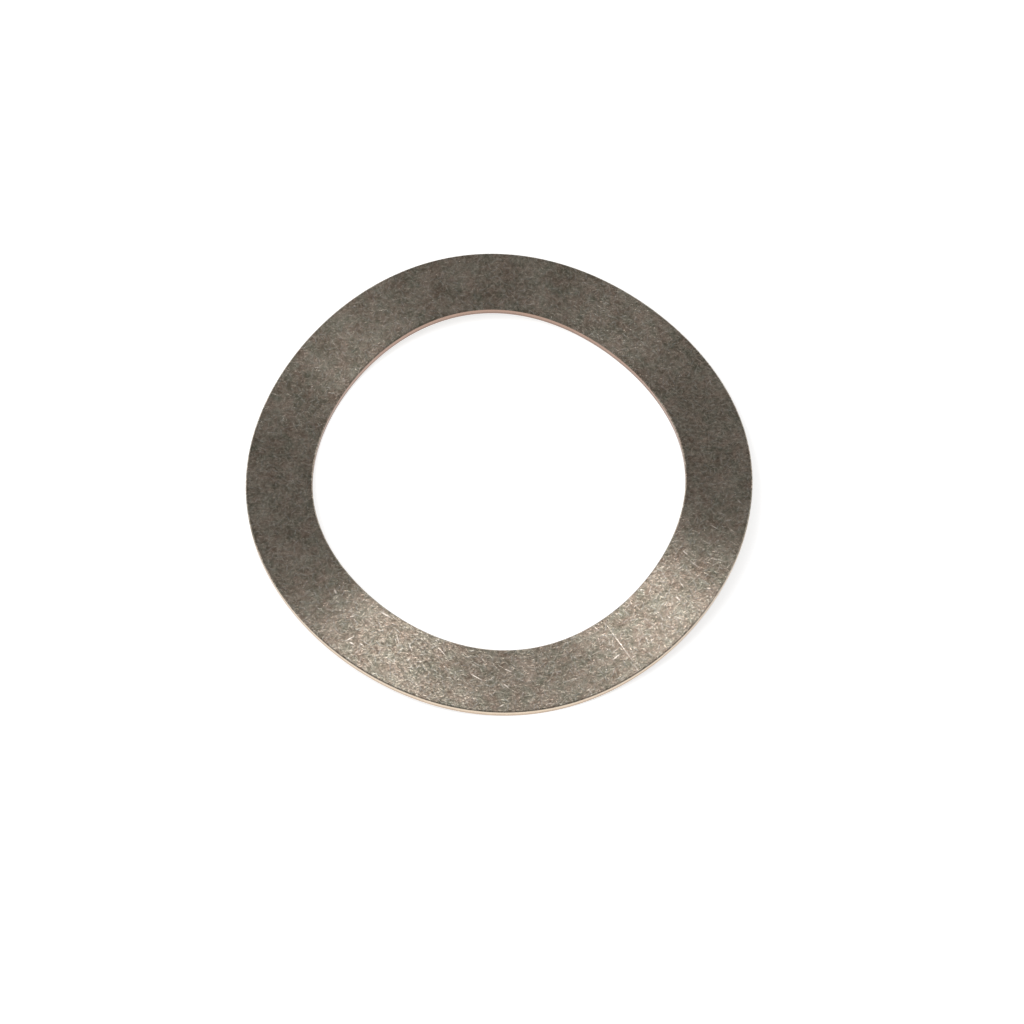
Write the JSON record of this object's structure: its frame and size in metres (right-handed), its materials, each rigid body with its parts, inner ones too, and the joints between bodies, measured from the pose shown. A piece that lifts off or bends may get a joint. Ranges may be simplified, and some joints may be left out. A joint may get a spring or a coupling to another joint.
{
  "type": "wave spring washer",
  "caption": "Thin flat ring of spring steel pressed into a gentle wave, a spring washer that takes up the end play of a peg or shaft.",
  "frame": {"origin": "centre of the bore, on the plane that the three troughs rest on", "axes": "+Z along the bore's axis, up from the resting plane to the crests; one crest lies 99 degrees counter-clockwise from +X, so that the front of the picture faces -Y"},
  "size_m": [0.022, 0.022, 0.0014],
  "materials": {
    "spring_steel": "bare spring steel, tumbled to a dull warm grey with fine scratches in every direction and brighter sheared edges"
  },
  "bodies": {
    "root": {"wave_washer": "spring_steel"}
  },
  "joints": []
}
